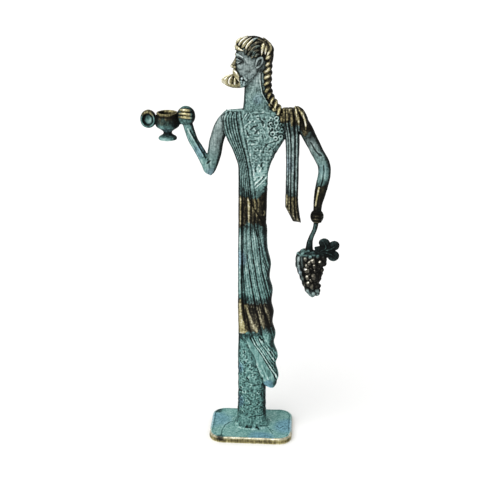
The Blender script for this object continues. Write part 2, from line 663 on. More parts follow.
# The head. It is turned in profile over the frontal chest, on a plain round neck. The face is calm and even,
# with an ear, a short jutting beard and a moustache. All of it is modelled in wax and cast.
HEAD = {"x": 0, "z": 266.6, "long": 12.8, "wide": 7.4, "tall": 13.4}
FACE = {"top": 272, "brow": 267.6, "eye": 264.2, "nose": 259.4, "mouth": 254.3, "chin": 248.6, "back": 5}
EYE = {"x": -8, "y": 3.6, "ball": (1.95, 1.95, 1.7), "iris": 0.8, "lid": 2.15}
bar(
    in_plane([(3.2, 226), (2.8, 236), (2, 252), (3, 263)], 0),
    [(1, 4), (0.8, 6), (0.7, 6.8), (0.4, 8.2), (0.2, 9.4), (0, 12)],
    [(1, 4), (0.75, 4.8), (0.4, 4.7), (0.2, 4.4), (0, 2.6)],
    columns=40, rows=48,
)
weather(0.25)
brow, eye, nose, mouth, chin = (FACE[part] for part in ("brow", "eye", "nose", "mouth", "chin"))
face_front = through([
    (FACE["top"], -10.3), (brow + 0.6, -10.9), (brow - 0.2, -11.1), (eye + 1.4, -10.3), (eye, -10.1),
    (260, -10.4), (258, -10.6), (256.2, -10.6), (mouth, -10.4), (252, -10.3), (250, -10.6), (chin, -9.6),
])
face_half = through([
    (FACE["top"], 6), (brow, 6.4), (eye, 6.2), (261.5, 6.5), (258, 5.9), (mouth, 5.2), (chin, 3.6),
])


def mask(turn, up, out):
    z = chin + (FACE["top"] - chin) * up
    c, s = oblong(turn, 2.4)
    x, y = between(face_front(z), FACE["back"], out * c), out * s * face_half(z)
    socket = np.exp(-(((np.abs(y) - 4.2) / 2) ** 2) - ((z - eye) / 1.9) ** 2) * ramp(-x, 4, 7)
    return x + 1.4 * socket, y * (1 - 0.14 * socket), z


def on_eye(side, yaw, pitch, radius):
    """A point of the eyeball or of a lid over it, by its direction in degrees."""
    yaw, pitch = math.radians(yaw), math.radians(pitch)
    return (
        EYE["x"] - radius * math.cos(yaw) * math.cos(pitch),
        side * (EYE["y"] + radius * math.sin(yaw) * math.cos(pitch)),
        eye + radius * math.sin(pitch),
    )


def lid_edge(side, lift):
    """The edge of an eyelid from its inner to its outer corner, arched up or down by `lift` degrees."""
    yaws = range(-22, 106, 16)
    return [on_eye(side, yaw, lift * math.cos(1.3 * math.radians(yaw - 38)), EYE["lid"]) for yaw in yaws]


mould(72, 72, mask)
nose_line = [(-9.8, brow - 0.4), (-10.3, eye + 0.8), (-11.3, nose + 2.4), (-11.9, nose + 0.9)]
bar(
    in_plane(nose_line, 0),
    [(0, 0.9), (0.4, 1.3), (1, 2.1)],
    taper(0.9, 1.4, 1.2, full=0.8),
    columns=20, rows=32,
)
egg((-13.1, 0, nose + 0.7), (1.2, 1.3, 1.15))
egg((-11.5, 0, nose - 0.2), (1.9, 1.1, 0.6))
egg((-10.9, 0, mouth + 0.75), (1.5, 2.4, 0.6))
egg((-10.7, 0, mouth - 0.75), (1.6, 2.1, 0.75))
for side in (-1, 1):
    egg((-11.3, side * 1.4, nose + 0.3), (1.3, 0.8, 0.95))
    egg(on_eye(side, 0, 0, 0), EYE["ball"])
    egg(on_eye(side, 20, -2, 1.45), (EYE["iris"],) * 3, columns=16, rows=12)
    for lift in (33, -30):
        bar(lid_edge(side, lift), taper(0.25, 0.4, 0.25), columns=8, rows=24, facing=(0.3, 0.2, 1))
    brow_line = [
        (-10.9, side * 1.3, brow), (-10.3, side * 3.3, brow + 0.6), (-8, side * 5.4, brow + 0.3),
        (-5.6, side * 6.2, brow - 1.1),
    ]
    bar(brow_line, taper(0.5, 0.8, 0.3), columns=12, rows=24, facing=(0.3, 0.2, 1))
    egg((-5.4, side * 3.8, 260.8), (4.2, 2.4, 2.9))
weather(
    lambda x, y, z: 0.25 + 0.35 * np.exp(-(((x + 7.5) / 2.4) ** 2) - ((z - eye) / 1.6) ** 2),
    lambda x, y, z: 0.8 * ramp(-x, 9.2, 11),
    lambda x, y, z: 0.3 + 0.25 * ramp(-x, 10, 12),
)
for side in (-1, 1):
    ear = [
        (2.3, side * 6.3, 260.9), (2.6, side * 6.7, 263.8), (3.9, side * 7, 266.2), (6.1, side * 6.9, 266.6),
        (6.2, side * 6.9, 264), (4.7, side * 6.7, 261.8), (2.5, side * 6.3, 260.3),
    ]
    bar(ear, taper(0.5, 0.85, 0.6), columns=12, rows=40, facing=(1, 0.2, 0.2))
    egg((4.2, side * 6, 263.8), (1.9, 1, 2.8))
weather(0.5)
jaw = [(-9.4, 252.2), (-5, 253.6), (-0.6, 256.8), (2.6, 261.6)]
bar(
    in_plane(jaw, 0),
    [(0, 2.6), (0.3, 4.2), (0.7, 4.3), (1, 2.6)],
    [(0, 4.2), (0.3, 5.6), (0.7, 6.2), (1, 5.6)],
    columns=48, rows=40,
)
weather(0.3)
BEARD = {"centre": (-10.2, 0, 250.4), "half": (8.7, 5.1, 4.4), "locks": 15, "depth": 0.19}


def beard_locks(turn, height):
    return BEARD["depth"] * np.cos(BEARD["locks"] * turn) * ramp(height, -0.45, 0) * (1 - height**8)


egg(BEARD["centre"], BEARD["half"], columns=160, rows=40, swell=beard_locks)
for side in (-1, 1):
    # The moustache is three long strands a side, one below another
    for row in range(3):
        strand = [
            (-12.3 + 0.2 * row, side * 0.4, mouth + 3.3 - 0.9 * row),
            (-11.9, side * 2.2, mouth + 3.3 - 1.1 * row),
            (-10, side * 4.5, mouth + 2 - 1.2 * row),
            (-8.4, side * 5.5, mouth - 0.2 - 1.3 * row),
        ]
        bar(strand, taper(0.6, 0.95, 0.35), columns=12, rows=30)
    # Small curls where the beard meets the cheek
    for _ in range(16):
        x, z = scattered.uniform(-8, -3.6), scattered.uniform(248.6, 254.6)
        y = 4.6 - 0.12 * (x + 8) ** 2 + 0.8 * (x + 8) if x < -5 else 5.4
        egg((x, side * y, z), (scattered.uniform(0.7, 1.1),) * 3, columns=10, rows=8)
weather(
    lambda x, y, z: 0.05 + 0.25 * ramp(x, -9.5, -6) + 0.12 * ramp(-z, -249, -246.5),
    lambda x, y, z: 1 - 0.95 * ramp(x, -9.6, -6),
    lambda x, y, z: 0.74 - 0.3 * ramp(-z, -250.5, -247),
)

# The hair. It is combed back from a rolled fringe in thick locks, over the ears and down to the nape, where a
# plait starts that hangs to the shoulder. The front locks and the plait are rubbed bright.
HAIRLINE = {"x": -7, "z": brow + 2.4}
# The skull lies a little under the locks, which follow an egg of the head's full size
UNDER_LOCKS = 0.95
# The locks are drawn from the side, as places along and up the head, with their half width
fringe = [
    ([(-11.2, 273), (-9.8, 272.4), (-7.8, 271.6), (-5.4, 270.9)], 1.2),
    ([(-10.7, 274.2), (-9.2, 276.3), (-6.2, 278.6)], 1),
    ([(-8.8, 273.5), (-6.8, 276.4), (-3, 279.2)], 1),
    ([(-6.8, 272.6), (-4.6, 275.6), (-0.6, 279.1)], 1.05),
    ([(-4.6, 271.8), (-2.2, 274.9), (0.8, 277.6), (3.4, 278.6)], 1.05),
]
side_locks = [
    ([(-2.8, 271.2), (-0.6, 274), (3, 276), (6, 276)], 0.9),
    ([(-1.4, 270), (0.6, 272.4), (3.6, 274), (5.6, 273.6)], 0.9),
    ([(0.2, 268.8), (2.2, 271), (4.8, 271.6)], 0.85), ([(1.6, 267.4), (3.2, 268.8), (4.9, 269.2)], 0.8),
    ([(-4.6, 269), (-4.1, 271), (-2.9, 272.6)], 0.85), ([(-2.9, 267.6), (-2, 269.6), (-0.4, 271)], 0.8),
    ([(-0.9, 266.6), (0.2, 268), (1.6, 269.2)], 0.8),
]
back_locks = [
    ([(7.8, 276.8), (6.7, 274), (6, 271), (5.7, 268.2)], 1.15),
    ([(8.2, 275.6), (8.3, 272.4), (7.9, 268.6)], 1.1),
    ([(8.9, 276.2), (10.5, 273.8), (10.7, 271.4), (9.7, 268.8), (8.6, 266.9)], 1.25),
]
nape_locks = [([(11.2, 274.2), (12.4, 271.4), (12.2, 268.4), (11.6, 265)], 0.9)]


def skull(turn, up, out):
    ring, height = ball(up, out)
    x = HEAD["x"] + UNDER_LOCKS * HEAD["long"] * ring * np.cos(turn)
    y = UNDER_LOCKS * HEAD["wide"] * ring * np.sin(turn)
    z = HEAD["z"] + UNDER_LOCKS * HEAD["tall"] * height
    # Below the hairline the skull ends behind the face
    hairline = HAIRLINE["x"] + 0.5 * np.clip(HAIRLINE["z"] - z, 0, 14)
    return np.where(z < HAIRLINE["z"], np.maximum(x, hairline), x), y, z


def on_head(x, z):
    """How far the head reaches to either side at these places, as a share of its half width."""
    share = 1 - ((x - HEAD["x"]) / HEAD["long"]) ** 2 - ((z - HEAD["z"]) / HEAD["tall"]) ** 2
    return np.sqrt(np.clip(share, 0.003, 1))


def lay_lock(line, width, side):
    """Lays a lock of hair along a line on one side of the head."""
    x, z = np.array(line, float).T
    points = np.stack([x, side * HEAD["wide"] * on_head(x, z), z], axis=1)
    wide = taper(0.4 * width, width, 0.15 * width)
    deep = taper(0.4 * width, 0.85 * width, 0.2 * width)
    bar(points, wide, deep, columns=12, rows=40, facing=(0, side, 0.15))


mould(64, 48, skull)
weather(
    lambda x, y, z: 0.15 + 0.75 * np.maximum(ramp(z + 0.4 * x, 266, 268.4), ramp(x, 2, 4.5)),
    lambda x, y, z: 0.8 * ramp(z + 0.4 * x, 266, 268.4),
    0.1,
)
# Each group of locks with its marks: how dark, how far rubbed and how bright it is
worn_locks = (
    (fringe, (0.1, lambda x, y, z: 1 - ramp(x, -1.5, 2.5), 0.72)),
    (side_locks, (0.6, 0.62, 0.3)),
    (back_locks, (0.1, 1, 0.7)),
    (nape_locks, (0.9, 0.9, 0.2)),
)
for locks, marks in worn_locks:
    for line, width in locks:
        for side in (-1, 1):
            lay_lock(line, width, side)
    weather(*marks)
# Strands down the back of the head, between the locks of the two sides
for across in (-3.4, -1.1, 1.1, 3.4):
    height = np.linspace(278, 262, 7)
    share = 1 - (across / HEAD["wide"]) ** 2 - ((height - HEAD["z"]) / HEAD["tall"]) ** 2
    points = np.stack([0.97 * HEAD["long"] * np.sqrt(share), np.full(7, across), height], axis=1)
    bar(points, taper(0.6, 1.1, 0.6), columns=12, rows=40, facing=(1, 0, 0.1))
weather(0.5, 0.9, 0.35)
PLAIT = {"turns": 10, "wide": 2.9, "deep": 4}
plait_line = [(9.4, 268.6), (9.2, 256), (9.2, 246), (10.8, 240.5), (14.4, 234.5), (18, 229.5)]


def strands(turn, up):
    wave = 0.5 + 0.5 * np.cos(math.tau * (PLAIT["turns"] * up - turn / math.pi))
    return -0.24 + 0.4 * wave**0.8


plait_deep = [(0, 5.4), (0.12, 5), (0.25, 4.1), (0.4, PLAIT["deep"]), (1, PLAIT["deep"])]
bar(in_plane(plait_line, 0), PLAIT["wide"], plait_deep, columns=40, rows=320, flute=strands)
weather(
    lambda x, y, z: 0.1 + 0.8 * ramp(x, 10, 11.8) * ramp(z, 240, 244),
    1,
    lambda x, y, z: 0.56 - 0.3 * within(z, 239, 252, 2),
)

# The casting. All forms of the figure are joined and poured as one piece of brass.
FIGURE = {"face": 0.36, "triangles": 196000}
bpy.ops.object.select_all(action="DESELECT")
for form in forms:
    form.select_set(True)
bpy.context.view_layer.objects.active = forms[0]
bpy.ops.object.join()
figure = bpy.context.object
figure.name = "casting"
settle()
cast(figure, FIGURE["face"], 1)

# The chasing. Before the cast the founder cuts lines with a graver into the wax, and presses rings and curls
# on the chest and the legs. Lines are drawn as places across and up the figure, or along the plate, in
# millimetres.
FRONT, BACK, TOP = (0, -1, 0), (0, 1, 0), (0, 0, 1)


def read_skin(piece):
    """A piece's skin in millimetres: its places, the ways it faces, and the relief to be raised on it."""
    at, out = column_of(piece.data.vertices, "co", 3) / MM, column_of(piece.data.vertices, "normal", 3)
    return {"piece": piece, "at": at, "out": out, "relief": np.zeros(len(at))}


def follow(skin, line, radius, facing):
    """The points of a skin near a line drawn on the side that faces `facing`, and how close each one is:
    1 on the line, and 0 at the radius."""
    line = np.array(line, float)
    spot = skin["at"][:, [0, 1] if facing == TOP else [0, 2]]
    near = np.flatnonzero(((spot > line.min(0) - radius) & (spot < line.max(0) + radius)).all(1))
    towards = skin["out"][near] @ np.array(facing, float)
    near, towards = near[towards > 0.1], towards[towards > 0.1]
    apart = np.full(len(near), np.inf)
    stretches = zip(line, line[1:]) if len(line) > 1 else [(line[0], line[0])]
    for start, end in stretches:
        reach, step = spot[near] - start, end - start
        share = np.clip(reach @ step / max(step @ step, 1e-9), 0, 1)
        apart = np.minimum(apart, np.linalg.norm(reach - share[:, None] * step, axis=1))
    reached = apart < radius
    close = (1 - (apart[reached] / radius) ** 2) ** 1.5 * np.clip(1.6 * towards[reached], 0, 1)
    return near[reached], close


def chase(skin, line, radius, height, facing=FRONT):
    """Raises metal along a line, or cuts it where the height is negative."""
    near, close = follow(skin, line, radius, facing)
    pick = np.maximum if height > 0 else np.minimum
    skin["relief"][near] = pick(skin["relief"][near], height * close)


def raise_relief(skin):
    """Moves a skin along its normals by its relief."""
    skin["at"] += skin["out"] * skin["relief"][:, None]
    skin["piece"].data.vertices.foreach_set("co", (skin["at"] * MM).ravel())
    skin["piece"].data.update()


def circle(x, z, radius, start=0.0, sweep=math.tau):
    """The points of a ring, or of a part of it."""
    turns = start + sweep * np.linspace(0, 1, 10)
    return np.stack([x + radius * np.cos(turns), z + radius * np.sin(turns)], axis=1)


def grain(at, size, seed):
    """Smooth random values from -1 to 1 through space, with grains `size` millimetres wide."""
    table = np.random.default_rng(seed).uniform(-1, 1, 4096)
    cell = np.floor(at / size).astype(int)
    part = at / size - cell
    part = part * part * (3 - 2 * part)
    total = np.zeros(len(at))
    for corner in np.ndindex(2, 2, 2):
        weight = np.prod(np.where(corner, part, 1 - part), axis=1)
        key = ((cell + corner) * np.array([73856093, 19349663, 83492791])).sum(1)
        total += weight * table[key % len(table)]
    return total


skin = read_skin(figure)
chest_raised = [
    [(-7.1, 226.5), (-5, 228.7), (-2.1, 230.2)], [(-3.5, 228.7), (0.7, 230.9), (6.4, 231.4), (10.6, 230.7)],
    [(-1.4, 225.1), (-2.8, 224), (-5, 221.4), (-5.3, 218.4), (-4.6, 215.5)],
    [(-2.1, 222.2), (0, 220.7), (1.5, 221.5)], [(1.5, 220.4), (4.3, 217.9)],
    [(1.5, 214.9), (4, 214.6), (4.4, 212.4), (2.6, 210.5)], [(-2.8, 215.5), (-1.4, 214.1), (-3.2, 212.6)],
    [(-2.1, 210.4), (1.5, 210.8)], [(10.2, 224.9), (9.9, 221.6), (10.8, 219), (11.5, 215.7)],
    [(19.4, 214.5), (15.8, 210.7), (13, 207), (12.3, 203.3)], [(10.1, 209.2), (12.6, 207.7), (11.6, 204.7)],
    [(0.9, 193.7), (0.5, 191.8), (0.9, 190.3)], [(5.6, 206.4), (4.8, 203.8), (5.6, 201.4)],
    [(0.9, 182.8), (3.8, 185.1), (6.7, 188.2)], [(2.4, 181.3), (5.8, 184.6), (9.6, 188.2)],
    [(6.4, 226.4), (8.2, 224.8), (7.4, 222.4)], [(4.4, 196.8), (6.2, 194.8), (5, 192.6)],
]
chest_cut = [
    [(-6.2, 226.9), (-4.6, 230.2)], [(-4.9, 226.9), (-2.7, 230.2)], [(-3.6, 226.3), (-1.7, 229.3)],
    [(7.3, 204.7), (7.6, 207.6), (9.4, 210.6), (13, 211.8), (15.8, 212.9)], [(9.4, 205.4), (10.9, 204.7)],
    [(1.3, 184.7), (4.5, 188.1)], [(1.8, 182), (5, 184.9), (8.6, 188.8)], [(4, 220.1), (1.8, 217.5)],
    [(8.6, 215), (7.6, 217.2)], [(6.5, 217.9), (6.9, 214.3)], [(-3.6, 219.6), (-2.6, 216.8), (-0.4, 216.6)],
    [(-0.4, 212.6), (2.4, 212.9)], [(-1, 220.4), (1, 222.2), (3.4, 222.6)],
    [(4.6, 227.2), (6.4, 225.4), (6.8, 223)], [(11.4, 207.4), (10.4, 206)], [(6.8, 198.4), (6.2, 195.8)],
    [(2.2, 194.6), (2.4, 192)],
]
# Rings on the chest and on the legs, each as its middle and its radius
chest_rings = [
    (-4.9, 217.7, 0.9), (-2.1, 203.4, 1.1), (1.5, 202.3, 1.2), (-1.9, 200, 1.1), (0.3, 197.2, 1.2),
    (2.4, 207.4, 1.1), (6.2, 219.4, 1.1), (2.6, 199.4, 0.9), (3.4, 228, 1), (0.6, 225.6, 1),
]
leg_rings = [
    (-4.7, 62.8, 1), (-5, 59.4, 1), (-2.2, 56, 1.4), (-1.7, 52.7, 1.4), (-5.4, 41, 1.1), (-1, 37.4, 1.2),
    (-4.8, 32, 1.1), (1.4, 29.6, 1.2), (-3, 24.8, 1.1), (5.4, 31.6, 1),
]
leg_raised = [
    [(-0.8, 49.1), (1.2, 51.5)], [(0.6, 47.6), (1.2, 49.6), (2.8, 50.2), (4, 48.8)],
    [(-1.4, 17.9), (1.4, 19.2), (4.9, 21.3), (7.7, 24.1)],
    [(-6.8, 50), (-5.4, 47.4), (-3.4, 46.6)], [(-7, 36.4), (-5.6, 35)],
    [(-6.6, 28.4), (-5.2, 26.4), (-6, 23.6)], [(-6.4, 17.4), (-4.4, 15.6)], [(3.8, 27.4), (6.2, 28.6)],
]
leg_cut = [
    [(-1.4, 12.3), (3.5, 13.3), (7.7, 13.5), (10.8, 14.4)], [(-7, 54.4), (-5.4, 52.4)],
    [(0.4, 44.6), (2.8, 45.6)], [(-3.4, 43.6), (-1.6, 41.4)], [(-3, 21.4), (0.4, 22.8)],
]
leg_dots = [[(x, 17.2)] for x in (0, 2.1, 4.2, 6)]
for line in chest_raised:
    chase(skin, line, 0.9, 0.36)
for line in chest_cut:
    chase(skin, line, 0.75, -0.42)
for x, z, radius in chest_rings + leg_rings:
    chase(skin, circle(x, z, radius, scattered.uniform(0, 6), 4.2), 0.65, 0.26)
    chase(skin, [(x, z)], 0.6, -0.12)
for line in leg_raised:
    chase(skin, line, 0.8, 0.22)
for line in leg_cut + leg_dots:
    chase(skin, line, 0.7, -0.35)
# A patch of larger rings below the left shoulder, each with a hollow in it and a cut round it
patch_rings = [
    (12.1, 226.6), (15.6, 227.4), (12.1, 223.6), (15.5, 224.4), (18.6, 223), (12.9, 220.6), (16.2, 221),
    (13.2, 217.6), (16.5, 217.6), (15.1, 214.4), (18.4, 215.4), (19.1, 219.4),
]
for x, z in patch_rings:
    radius = scattered.uniform(1.05, 1.4)
    chase(skin, circle(x, z, radius, scattered.uniform(0, 6), 5), 0.65, 0.34)
    chase(skin, [(x, z)], 0.8, -0.45)
    chase(skin, circle(x, z, radius + 0.85, scattered.uniform(0, 6), 3.4), 0.6, -0.4)
# The border of the shoulder band
heights = np.array([230.5, 226.6, 216.7, 208.1, 201.5, 196.1, 190, 184, 178.5, 172])
for beside, height in ((-0.4, 0.1), (0.9, -0.32)):
    chase(skin, np.stack([band_right(heights) + beside, heights], axis=1), 0.8, height)
# Fine lines along the folds of the cloak, between its deep grooves
heights = np.linspace(92, 172, 9)
for left, right in zip(cloak_grooves, cloak_grooves[1:]):
    for share in (0.33, 0.67):
        places = left(heights) + share * (right(heights) - left(heights))
        chase(skin, np.stack([places, heights], axis=1), 0.55, -0.22)
# Fine strands on the scalp between neighbouring locks
for first, second in (*zip(fringe[1:], fringe[2:]), *zip(side_locks[:3], side_locks[1:4])):
    first, second = (path_through(in_plane(line, 0))[0](np.linspace(0, 1, 6)) for line, _ in (first, second))
    for facing in (FRONT, BACK):
        for share in (0.35, 0.65):
            strand = (1 - share) * first + share * second
            chase(skin, strand[:, [0, 2]], 0.5, 0.3, facing)
# The edge of the plait on the neck, and the groove beside it
plait_edge = [(4.8, 256.2), (4.8, 252.4), (5.5, 247.3), (6.1, 244.1), (8.1, 240.3), (10, 237), (13.2, 233.2)]
chase(skin, plait_edge, 0.7, 0.4)
chase(skin, [(x + 1, z) for x, z in plait_edge], 0.8, -0.5)
# Folds that run along the hem: how far each is from it, its half width, and how far it is raised or cut
hem_folds = (
    (0, 0.8, -0.9), (1.85, 0.7, -0.6), (0.95, 0.6, 0.7), (3.6, 0.7, -0.3), (5.2, 0.8, -0.5), (7.3, 0.8, -0.5),
    (6.2, 0.6, 0.35), (9, 0.8, -0.4),
)
for facing, depth in ((FRONT, 0.85), (BACK, 0.7)):
    for shift, radius, height in hem_folds:
        chase(skin, [(x + shift, z) for x, z in hem_line], radius, depth * height, facing)
# Single lines of the hem and of the bends of the arms, with their half widths and heights
single_lines = [
    ([(6, 75), (8.8, 70.5), (13, 63.9), (15.1, 60.1)], 0.8, -0.9),
    ([(7.4, 71.3), (10.2, 67.6), (12.3, 64.6)], 0.9, 0.5),
    ([(7.5, 53), (9.6, 47.7), (11.8, 42.4)], 1, 0.35), ([(12.6, 48.4), (13.4, 45)], 1.8, -0.4),
    ([(-41.6, 219.5), (-37.1, 211), (-32, 201.7)], 1, 0.45),
    ([(-43.2, 217.5), (-38.9, 210), (-34, 201)], 0.8, -0.25),
    ([(-39.6, 218), (-35.3, 210), (-30.6, 202)], 0.8, -0.25),
    ([(-29.4, 204.4), (-29.2, 200.4)], 1, 0.4), ([(-31, 203.5), (-30.1, 200.4)], 0.8, -0.6),
    ([(-29.1, 196.7), (-27.5, 198.4)], 0.8, -0.5),
    ([(37.9, 211.7), (40.5, 207.1), (43.8, 203.2)], 0.8, -0.5), ([(43.5, 204.2), (44.8, 203.2)], 0.9, -0.6),
    ([(46.4, 196.5), (46.8, 192.5), (46, 187), (44.8, 182.2)], 0.8, -0.5),
    ([(43.7, 181.5), (42.6, 175.4), (41.7, 169.2)], 1, 0.5),
]
for line, radius, height in single_lines:
    chase(skin, line, radius, height)
# Plainer folds on the back, and the gaps between the knuckles on the back of the raised hand
for x, lean in ((-1, -0.04), (3, -0.08), (8, -0.12), (13, -0.2)):
    chase(skin, [(x, 222), (x - 12 * lean, 206), (x - 34 * lean, 184)], 1.3, -0.5, BACK)
for lift, height in ((-3, -0.5), (-1, -0.6), (1, -0.6), (3, -0.5)):
    gap = [(GRIP["x"] - 4.6, GRIP["z"] + lift + 0.5), (GRIP["x"] + 1.5, GRIP["z"] + 0.8 * lift)]
    chase(skin, gap, 0.8, height, BACK)
raise_relief(skin)

# The texture of the legs and of the bare chest, like worms side by side, and a faint sand grain all over
skin = read_skin(figure)
x, y, z = skin["at"].T
on_leg = within(x, -10, 17, 0.5) * (1 - ramp(z - hem_border(x), -15, -12)) * ramp(z, 9, 15)
on_chest = within(z, 176, 231, 2) * ramp(x - band_right(z), 0.5, 1.5) * (1 - ramp(x, 19, 20.5))
for zone, coarse, fine in ((on_leg, 0.38, 0.26), (on_chest, 0.3, 0.22)):
    for size, depth, seed in ((2.5, coarse, 1), (1.5, fine, 2)):
        skin["relief"] += zone * depth * (0.3 - np.abs(grain(skin["at"], size, seed)))
skin["relief"] += 0.06 * grain(skin["at"], 1, 3) + 0.1 * grain(skin["at"], 3.4, 4)
raise_relief(skin)

# Scratches and an uneven sand-cast top on the plate
plate_skin = read_skin(plate)
plate_cut = [
    [(-10.8, 1.7), (-15.4, 0.6), (-18.5, -4.6), (-20.1, -11.8), (-19.9, -18.1)],
    [(10.5, -2.3), (12.8, -7.4), (15.7, -14.1)], [(13.5, -7.4), (15.8, -10.7)],
    [(18.3, -3.5), (20.5, -6.2), (22.5, -3.2)],
]
for line in plate_cut:
    chase(plate_skin, line, 0.8, -0.22, TOP)
not_below = plate_skin["out"][:, 2] > -0.5
lumps = 0.12 * grain(plate_skin["at"], 7, 5) + 0.06 * grain(plate_skin["at"], 1.6, 6)
plate_skin["relief"] += not_below * lumps
raise_relief(plate_skin)

# The wear. Verdigris stays in the hollows and is paler on the ridges. Bands of the casting are burnt dark
# brown, and rubbed back to bright brass on their ridges. Numbers on the skin carry this to the finish, with
# how blue, how grey and how grainy the crust is.
waist_top = through([(-7.7, 174.5), (-1.2, 175.3), (5.4, 175.5), (9.9, 179)])
waist_bottom = through([(-7.7, 155.1), (-1.1, 156.7), (4.2, 155.4), (10.1, 154.1)])
knee_top = through([(-7.7, 102), (-3, 100), (3.1, 99.4), (9.2, 98.9), (14.7, 98.3)])
knee_bottom = through([(-7.7, 76.8), (-1.5, 77.4), (3.9, 79.4), (8.7, 81.8), (15.5, 82.8)])
shoulder_rub = through([
    (17.7, 225.2), (24.2, 224), (30.6, 221.5), (32.6, 216.2), (37.1, 217.6), (41.5, 220.4),
])
strip_rub = through([(22.3, 177), (26.2, 175), (30.8, 174.4)])
wrist_rub = through([(41.1, 180.1), (47.6, 183)])
flap_right = through([(101, -7.7), (93, -6.7), (87, -5.3), (80, -2.9), (77, -1.5)])
# Ridges of the bands that are rubbed brighter than the rest: each line, its half width, and how bright it is
bright_ridges = [
    ([(-7.2, 174), (-7.2, 157)], 1, 0.6), ([(-2.1, 174), (-1.8, 156)], 1.1, 0.7),
    ([(1.1, 173), (4.2, 158)], 1, 0.5), ([(8.1, 164.5), (9.1, 163.9), (8.1, 161.8)], 1, 1),
    ([(-4, 97.7), (-2.6, 93.3), (-0.2, 87.5), (1.9, 82.3), (3.9, 79.4)], 1.4, 0.8),
    ([(3.2, 97.2), (4.5, 93.6), (6.6, 87.7), (8.4, 81.8)], 1.1, 0.45),
    ([(9.6, 95.9), (11.3, 92.3), (13.4, 87.2), (14.8, 82.7)], 1.1, 0.4),
    ([(22.4, 176), (22.3, 169)], 1.2, 0.9), ([(27.6, 174), (28, 162)], 1.1, 0.6),
    ([(19.5, 233), (18.9, 226)], 0.7, 0.9), ([(23.3, 234.4), (23.1, 226.6)], 0.7, 1),
    ([(27, 234), (28.6, 227)], 0.7, 1), ([(29.8, 232.6), (30, 226)], 0.7, 0.9),
    ([(32.3, 231.8), (34.4, 223.6)], 0.7, 1), ([(43.7, 181.5), (42.6, 175.4), (41.7, 169.2)], 0.9, 0.55),
]
# Soft round patches, each as its place, its radius and its strength
blue_spots = [
    (-9.5, -4, 132, 9, 0.9), (-9.5, -4, 84, 5, 0.6), (-27, -4, 189, 6, 0.5), (-9, -4, 24, 7, 0.8),
    (-9, -5, 50, 6, 0.6), (12, -6, 38, 5, 1), (22, -4, 196, 8, 0.4), (30, -4, 150, 12, 0.4),
    (30, -6, 122, 6, 0.8), (-55, -7, 218, 5, 0.4), (4, -5, 240, 6, 0.4), (-34, -3, 204, 8, 0.5),
    (46, -3, 194, 8, 0.3),
]
foot_holes = [
    (-3.1, -8.6, 5.6, 1.1, 1), (-2.1, -8.8, 5.6, 0.9, 1), (-0.3, -8.8, 5.6, 1, 1), (4.3, -8.6, 5.8, 1.2, 1),
    (5.3, -9.2, 4.8, 1, 1),
]
pupils = [(*on_eye(side, 20, -2, 2.3), 0.7, 1) for side in (-1, 1)]
flank_spot = [(8, -5, 188, 13, 1)]
plate_blue = [
    (-25, 2.1, 4.5, 17, 0.5), (26, -3, 4.5, 14, 0.6), (4, -18.6, 4.5, 9, 0.5), (11, -18.4, 4.5, 8, 0.5),
]
plate_stains = [(-25, 16, 4.5, 4.5, 1), (-20.5, -20.6, 4, 4, 1), (-2, -4, 4.5, 2, 0.6)]


def even_out(piece, values, rounds):
    """Averages values over neighbouring points of a skin, again and again."""
    ends = np.empty(2 * len(piece.data.edges), np.int32)
    piece.data.edges.foreach_get("vertices", ends)
    a, b = ends.reshape(-1, 2).T
    here, there = np.concatenate([a, b]), np.concatenate([b, a])
    count = np.bincount(here, minlength=len(values))[:, None]
    for _ in range(rounds):
        near = np.stack([np.bincount(here, column[there], len(values)) for column in values.T], axis=1)
        values = 0.4 * values + 0.6 * near / count
    return values


def crests(skin, rounds):
    """How far each point of a skin stands above its surroundings, in millimetres."""
    return ((skin["at"] - even_out(skin["piece"], skin["at"], rounds)) * skin["out"]).sum(1)


def spotted(at, spots):
    """How strongly soft round patches show at these places."""
    total = np.zeros(len(at))
    for *place, radius, strength in spots:
        total += strength * (1 - ramp(np.linalg.norm(at - np.array(place), axis=1), 0.3 * radius, radius))
    return total


skin = read_skin(figure)
x, y, z = skin["at"].T
carried = (figure.data.attributes[name].data for name in ("dark", "rubbed", "gold"))
carried = np.concatenate([column_of(mark, "value", 1) for mark in carried], axis=1)
dark, rubbed, gold = even_out(figure, carried, 5).T
streaks = grain(skin["at"] * np.array([1, 1, 0.16]), 1.1, 8)
uneven = 1.6 * grain(skin["at"], 3, 7) + 1.8 * streaks
body = within(x, -14, 19, 0.5)
strip_zone = within(x, 20.6, 33.6, 0.3) * ramp(z, 150, 152)
wrist_zone = within(x, 36, 54, 0.5) * ramp(z, 155, 157)
# Each band: where it may be, heights above its lower edge and below its upper edge, and how bright it is.
# A band that ends in the air has an edge far off.
FAR = 99
bands = [
    (body, z - waist_bottom(x), waist_top(x) - z, 0.22 - 0.3 * ramp(x, 3, 6)),
    (body, z - knee_bottom(x), knee_top(x) - z, 0.26),
    (ramp(x, 16.5, 18), z - shoulder_rub(x), FAR, 0.45),
    (strip_zone, FAR, strip_rub(x) - z, 0.4),
    (wrist_zone, z - 166, wrist_rub(x) - z, 0),
]
for zone, above, below, brightness in bands:
    inside = np.minimum(above, below) + uneven
    core = zone * ramp(inside, -2.5, 2)
    dark += 0.75 * zone * ramp(inside, -8, -1) * (1 - 0.75 * core)
    rubbed = np.maximum(rubbed, core)
    gold += core * (brightness + 0.25 * streaks - gold)
for line, radius, brightness in bright_ridges:
    near, close = follow(skin, line, radius, FRONT)
    gold[near] += (brightness + 0.25 * streaks[near] - gold[near]) * np.clip(1.4 * close, 0, 1)
    dark[near] *= 1 - 0.7 * close
flap = body * ramp(flap_right(z) - x, -0.4, 0.4) * within(z, 77, 100, 1) * (y < 0)
gold += flap * (0.7 - gold)
dark *= 1 - 0.9 * flap
